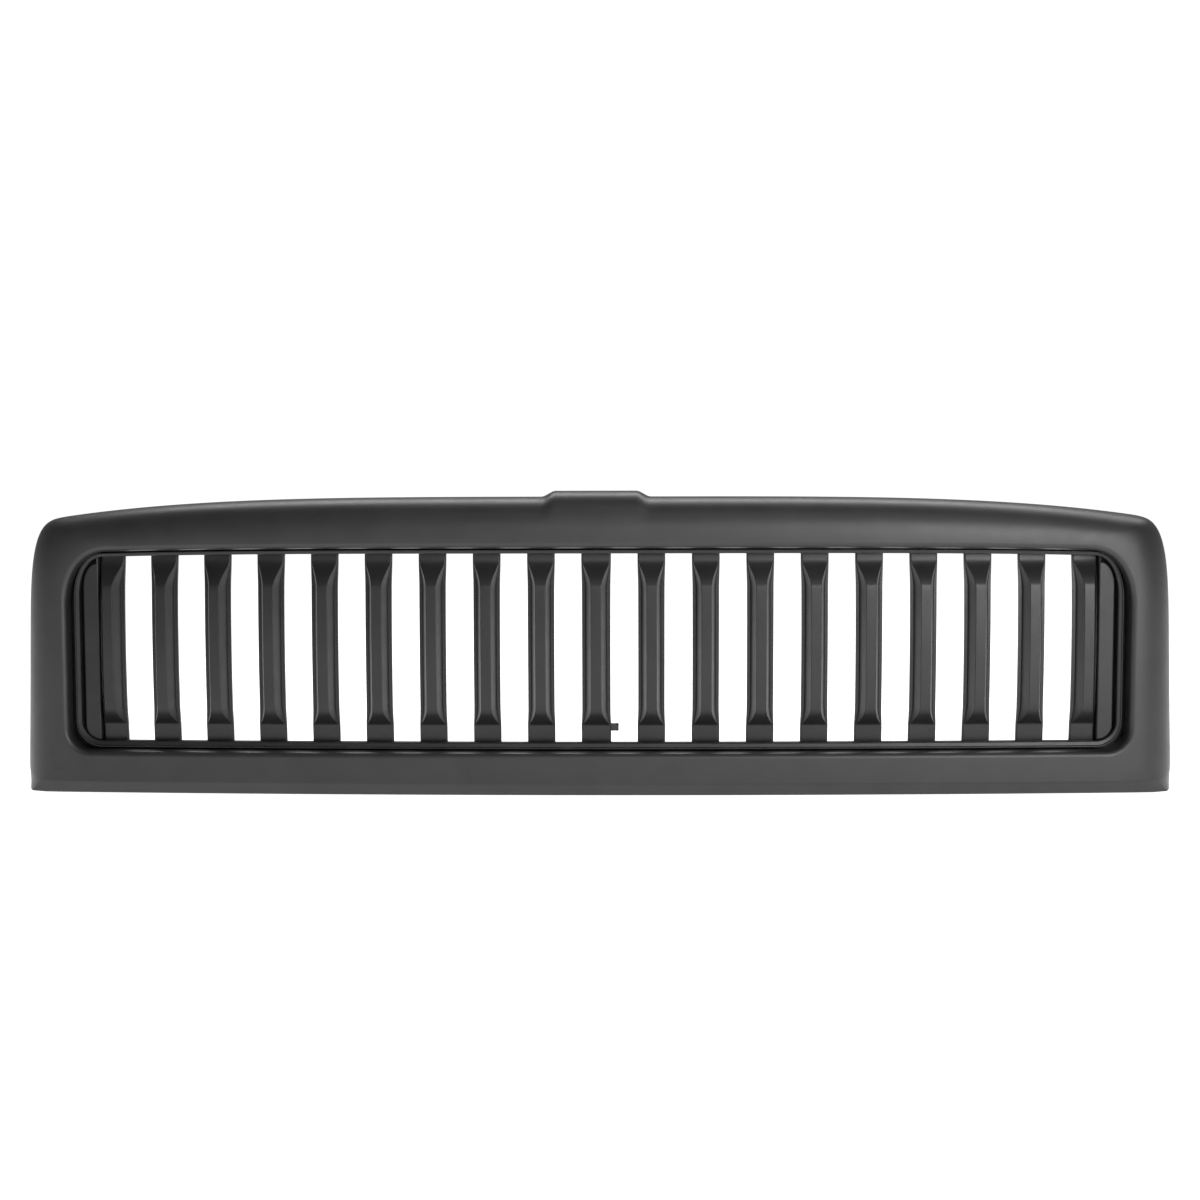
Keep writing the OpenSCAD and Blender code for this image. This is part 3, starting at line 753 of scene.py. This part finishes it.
def paper():
    n = Nodes("white_paper")
    n.link(n.blend(n.remap(n.noise(60, detail=4), 0, 1), (0.86, 0.86, 0.86), (0.88, 0.88, 0.88)),
           "Base Color")
    n.shader.inputs["Roughness"].default_value = 0.9
    n.shader.inputs["Specular IOR Level"].default_value = 0.1
    n.shader.inputs["Emission Color"].default_value = (1, 1, 1, 1)
    n.shader.inputs["Emission Strength"].default_value = 0.86
    return n.material


stage_plane("floor", paper(), 9.0, -7.0, 14.0)


def area_light(name, azimuth, elevation, distance, width, height, power, target=(0, 0, 0.15)):
    """A soft box that faces the grille; azimuth is measured from straight ahead to the right."""
    a, e = math.radians(azimuth), math.radians(elevation)
    target = Vector(target)
    way = Vector((math.sin(a) * math.cos(e), -math.cos(a) * math.cos(e), math.sin(e)))
    data = bpy.data.lights.new(name, "AREA")
    data.shape = "RECTANGLE"
    data.size, data.size_y, data.energy = width, height, power
    lamp = bpy.data.objects.new(name, data)
    lamp.location = target + way * distance
    lamp.rotation_euler = (-way).to_track_quat("-Z", "Y").to_euler()
    lamp.visible_camera = False
    bpy.context.scene.collection.objects.link(lamp)
    return lamp


area_light("front", 0, 18, 3, 1.0, 1.0, 8)
area_light("front_right", 27, 15, 3, 1.0, 1.2, 36)
area_light("low_right", 35, 3, 3, 1.2, 0.5, 8)
area_light("high_front", 0, 50, 3, 1.4, 1.0, 3)
area_light("high_right", 30, 45, 3, 1.4, 1.0, 4)
area_light("above_behind", 180, 62, 3, 3.0, 1.2, 62)
area_light("behind_right", 112, 50, 3, 1.4, 1.0, 16)

# The room is dimmer as a light than the white backdrop that the camera sees. Start and end
# are where the light grows from its front to its back value, along Y.
WORLD_FRONT, WORLD_BACK, BACKDROP = 0.10, 0.26, 1.05
FALLOFF_START, FALLOFF_END = -0.35, 0.25

world = bpy.data.worlds.new("white_studio")
bpy.context.scene.world = world
world.use_nodes = True
sky = world.node_tree
direction = sky.nodes.new("ShaderNodeTexCoord")
split = sky.nodes.new("ShaderNodeSeparateXYZ")
falloff = sky.nodes.new("ShaderNodeMapRange")
falloff.interpolation_type = "SMOOTHSTEP"
falloff.inputs["From Min"].default_value = FALLOFF_START
falloff.inputs["From Max"].default_value = FALLOFF_END
falloff.inputs["To Min"].default_value = WORLD_FRONT
falloff.inputs["To Max"].default_value = WORLD_BACK
sky.links.new(direction.outputs["Generated"], split.inputs["Vector"])
sky.links.new(split.outputs["Y"], falloff.inputs["Value"])
sky.nodes["Background"].inputs["Color"].default_value = (1, 1, 1, 1)
seen = sky.nodes.new("ShaderNodeLightPath")
choice = sky.nodes.new("ShaderNodeMix")
choice.inputs["B"].default_value = BACKDROP
sky.links.new(seen.outputs["Is Camera Ray"], choice.inputs["Factor"])
sky.links.new(falloff.outputs["Result"], choice.inputs["A"])
sky.links.new(choice.outputs["Result"], sky.nodes["Background"].inputs["Strength"])

# ---------- camera ----------

CAMERA_DISTANCE = 1.791
CAMERA_AZIMUTH = 0.996
CAMERA_ELEVATION = 4.05
CAMERA_ROLL = -0.134
CAMERA_LENS, CAMERA_SENSOR = 53.95, 36.0
camera_target = Vector((0.00437, FRONT_Y * MM, 0.1981))
azimuth, elevation = math.radians(CAMERA_AZIMUTH), math.radians(CAMERA_ELEVATION)
toward_camera = Vector((
    math.sin(azimuth) * math.cos(elevation), -math.cos(azimuth) * math.cos(elevation),
    math.sin(elevation),
))
camera_data = bpy.data.cameras.new("camera")
camera_data.sensor_width = CAMERA_SENSOR
camera_data.lens = CAMERA_LENS
camera = bpy.data.objects.new("camera", camera_data)
camera.location = camera_target + toward_camera * CAMERA_DISTANCE
upright = (-toward_camera).to_track_quat("-Z", "Y")
camera.rotation_euler = (upright @ Quaternion((0, 0, 1), math.radians(CAMERA_ROLL))).to_euler()
bpy.context.scene.collection.objects.link(camera)
bpy.context.scene.camera = camera
bpy.context.scene.view_settings.view_transform = "Standard"
